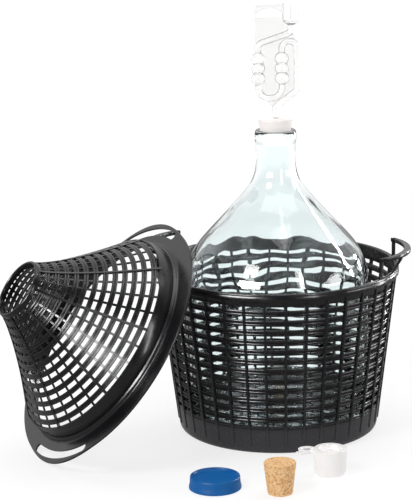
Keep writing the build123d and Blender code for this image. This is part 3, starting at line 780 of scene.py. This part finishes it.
plug.add(*slab(rounded(8.0, 9.0, 1.5, 4, -19.0, 2.0), 29.6, 32.2))
tab = np.array(rounded(21.0, 9.0, 4.4, 6))
t24 = math.radians(24)
tab = tab @ np.array([[math.cos(t24), math.sin(t24)], [-math.sin(t24), math.cos(t24)]]) + np.array([-33.5, -6.5])
plug.add(*slab(tab, 29.6, 32.2))
M = rot_z(TURN)
M[:3, 3] = (PLUG[0], PLUG[1], 0)
plug.make("plug_closure", "plug_stopper", ["plug_stopper"], stopper_mat, 40, matrix=M)

# ------------------------------------------------------------------ airlock: the CAD solid with its own material
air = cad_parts["airlock"]
air.data.materials.clear()
air.data.materials.append(airlock_mat)

# ------------------------------------------------------------------ stage
def emit(nt, color, strength):
    e = nt.nodes.new("ShaderNodeEmission")
    e.inputs["Color"].default_value = color
    e.inputs["Strength"].default_value = strength
    return e


me = bpy.data.meshes.new("floor")
S = 14.0
me.from_pydata([(-S, -S, -0.0003), (S, -S, -0.0003), (S, S, -0.0003), (-S, S, -0.0003)], [], [(0, 1, 2, 3)])
floor = bpy.data.objects.new("floor", me)
scene.collection.objects.link(floor)
fm, nt, b = material("studio_floor")
b.inputs["Base Color"].default_value = (0.24, 0.24, 0.24, 1)
b.inputs["Roughness"].default_value = 0.7
b.inputs["Specular IOR Level"].default_value = 0.1
b.inputs["Emission Color"].default_value = (1, 1, 1, 1)
ftc = nt.nodes.new("ShaderNodeTexCoord")
fln = nt.nodes.new("ShaderNodeVectorMath")
fln.operation = "LENGTH"
fmr = nt.nodes.new("ShaderNodeMapRange")
fmr.interpolation_type = "SMOOTHSTEP"
fmr.inputs["From Min"].default_value = 0.6
fmr.inputs["From Max"].default_value = 3.2
fmr.inputs["To Min"].default_value = 0.78
fmr.inputs["To Max"].default_value = 0.93
nt.links.new(ftc.outputs["Object"], fln.inputs[0])
nt.links.new(fln.outputs["Value"], fmr.inputs["Value"])
flp = nt.nodes.new("ShaderNodeLightPath")
low = nt.nodes.new("ShaderNodeEmission")
low.inputs["Color"].default_value = (1, 1, 1, 1)
low.inputs["Strength"].default_value = 0.38
fms = nt.nodes.new("ShaderNodeMixShader")
seen = nt.nodes.new("ShaderNodeMath")
seen.operation = "GREATER_THAN"
seen.inputs[1].default_value = 0.5
nt.links.new(flp.outputs["Transmission Depth"], seen.inputs[0])
lift = nt.nodes.new("ShaderNodeMath")
lift.operation = "MULTIPLY_ADD"
lift.inputs[1].default_value = 0.22
nt.links.new(seen.outputs[0], lift.inputs[0])
nt.links.new(fmr.outputs["Result"], lift.inputs[2])
nt.links.new(lift.outputs[0], b.inputs["Emission Strength"])
keep = nt.nodes.new("ShaderNodeMath")
keep.operation = "MULTIPLY_ADD"
keep.inputs[1].default_value = -0.75
keep.inputs[2].default_value = 1.0
nt.links.new(seen.outputs[0], keep.inputs[0])
gfac = nt.nodes.new("ShaderNodeMath")
gfac.operation = "MULTIPLY"
nt.links.new(keep.outputs[0], gfac.inputs[0])
nt.links.new(flp.outputs["Is Glossy Ray"], gfac.inputs[1])
fout = next(n for n in nt.nodes if n.type == "OUTPUT_MATERIAL")
nt.links.new(gfac.outputs[0], fms.inputs["Fac"])
nt.links.new(b.outputs[0], fms.inputs[1])
nt.links.new(low.outputs[0], fms.inputs[2])
nt.links.new(fms.outputs[0], fout.inputs["Surface"])
me.materials.append(fm)

world = bpy.data.worlds.new("studio")
scene.world = world
world.use_nodes = True
nt = world.node_tree
nt.nodes.clear()
out = nt.nodes.new("ShaderNodeOutputWorld")
bg = nt.nodes.new("ShaderNodeBackground")
bg.inputs["Color"].default_value = (1, 1, 1, 1)
bg.inputs["Strength"].default_value = 1.0
dim = nt.nodes.new("ShaderNodeBackground")
dim.inputs["Color"].default_value = (1, 1, 1, 1)
wc = nt.nodes.new("ShaderNodeTexCoord")
ws = nt.nodes.new("ShaderNodeSeparateXYZ")
nt.links.new(wc.outputs["Generated"], ws.inputs[0])
back = nt.nodes.new("ShaderNodeMapRange")
back.inputs["From Min"].default_value = -0.15
back.inputs["From Max"].default_value = 0.45
back.inputs["To Min"].default_value = 0.13
back.inputs["To Max"].default_value = 1.0
back.interpolation_type = "SMOOTHSTEP"
nt.links.new(ws.outputs["Y"], back.inputs["Value"])
nt.links.new(back.outputs["Result"], dim.inputs["Strength"])
lp = nt.nodes.new("ShaderNodeLightPath")
mx = nt.nodes.new("ShaderNodeMath")
mx.operation = "MAXIMUM"
nt.links.new(lp.outputs["Is Camera Ray"], mx.inputs[0])
tr = nt.nodes.new("ShaderNodeMath")
tr.operation = "GREATER_THAN"
tr.inputs[1].default_value = 0.5
nt.links.new(lp.outputs["Transmission Depth"], tr.inputs[0])
ng = nt.nodes.new("ShaderNodeMath")
ng.operation = "SUBTRACT"
half = nt.nodes.new("ShaderNodeMath")
half.operation = "MULTIPLY"
half.inputs[1].default_value = 0.32
nt.links.new(lp.outputs["Is Glossy Ray"], half.inputs[0])
nt.links.new(tr.outputs[0], ng.inputs[0])
nt.links.new(half.outputs[0], ng.inputs[1])
nt.links.new(ng.outputs[0], mx.inputs[1])
ms = nt.nodes.new("ShaderNodeMixShader")
nt.links.new(mx.outputs[0], ms.inputs["Fac"])
nt.links.new(dim.outputs[0], ms.inputs[1])
nt.links.new(bg.outputs[0], ms.inputs[2])
nt.links.new(ms.outputs[0], out.inputs["Surface"])


def area(name, loc, aim, size, power, size_y=None, diffuse=True):
    d = bpy.data.lights.new(name, "AREA")
    d.shape = "RECTANGLE"
    d.size, d.size_y = size, size_y or size
    d.energy = power
    o = bpy.data.objects.new(name, d)
    scene.collection.objects.link(o)
    o.location = loc
    o.rotation_euler = (Vector(aim) - Vector(loc)).to_track_quat("-Z", "Y").to_euler()
    o.visible_diffuse = diffuse
    return o


area("key_softbox", (-1.0, -1.5, 1.75), (-0.05, 0, 0.15), 0.65, 22)
area("front_left_box", (-0.95, -1.72, 0.78), (-0.12, -0.1, 0.15), 1.0, 55, 0.45, diffuse=False)
area("top_softbox", (0.1, 0.2, 2.2), (0, 0, 0.1), 1.5, 17)
area("right_side_box", (1.5, -0.15, 0.5), (0.1, 0, 0.14), 0.6, 5, 0.32, diffuse=False)
area("right_front_strip", (1.05, -1.35, 0.85), (0.05, 0, 0.15), 0.16, 12, 1.1, diffuse=False)


def strip(name, p0, p1, aim, width, power):
    """A narrow light whose long side runs from p0 to p1."""
    p0, p1, aim = Vector(p0), Vector(p1), Vector(aim)
    c = (p0 + p1) / 2
    o = area(name, c, aim, width, power, (p1 - p0).length, diffuse=False)
    z = (c - aim).normalized()
    y = (p1 - p0) - z * (p1 - p0).dot(z)
    y.normalize()
    x = y.cross(z)
    o.rotation_euler = Matrix(((x.x, y.x, z.x), (x.y, y.y, z.y), (x.z, y.z, z.z))).to_euler()


strip("shoulder_strip_low", (1.38, 0.62, 0.0), (1.37, 0.56, 0.80), (0.09, -0.05, 0.22), 0.13, 11)
strip("shoulder_strip_high", (1.37, 0.56, 0.78), (0.98, 0.80, 1.14), (0.05, -0.03, 0.30), 0.13, 10)
strip("neck_strip", (1.05, 1.07, 0.55), (1.0, 1.09, 0.05), (0.025, -0.01, 0.36), 0.08, 8)

# ------------------------------------------------------------------ camera
e, roll = math.radians(13.83), math.radians(-1.0)
d = Vector((0, math.cos(e), -math.sin(e)))
r = Vector((1, 0, 0))
u = Vector((0, math.sin(e), math.cos(e)))
r2 = r * math.cos(roll) + u * math.sin(roll)
u2 = -r * math.sin(roll) + u * math.cos(roll)
T = Vector((-0.0920, 0, 0.23798))
C = T - 3.0 * d
Rz = Matrix.Rotation(TURN, 3, "Z")
r2, u2, d, C = Rz @ r2, Rz @ u2, Rz @ d, Rz @ C
cam = bpy.data.cameras.new("camera")
cam.lens = 2302.9 / 500.0 * 36.0
cam.sensor_width = 36.0
cam.clip_end = 60.0
co = bpy.data.objects.new("camera", cam)
scene.collection.objects.link(co)
co.matrix_world = Matrix(((r2.x, u2.x, -d.x, C.x), (r2.y, u2.y, -d.y, C.y), (r2.z, u2.z, -d.z, C.z), (0, 0, 0, 1)))
scene.camera = co
scene.view_settings.view_transform = "Standard"
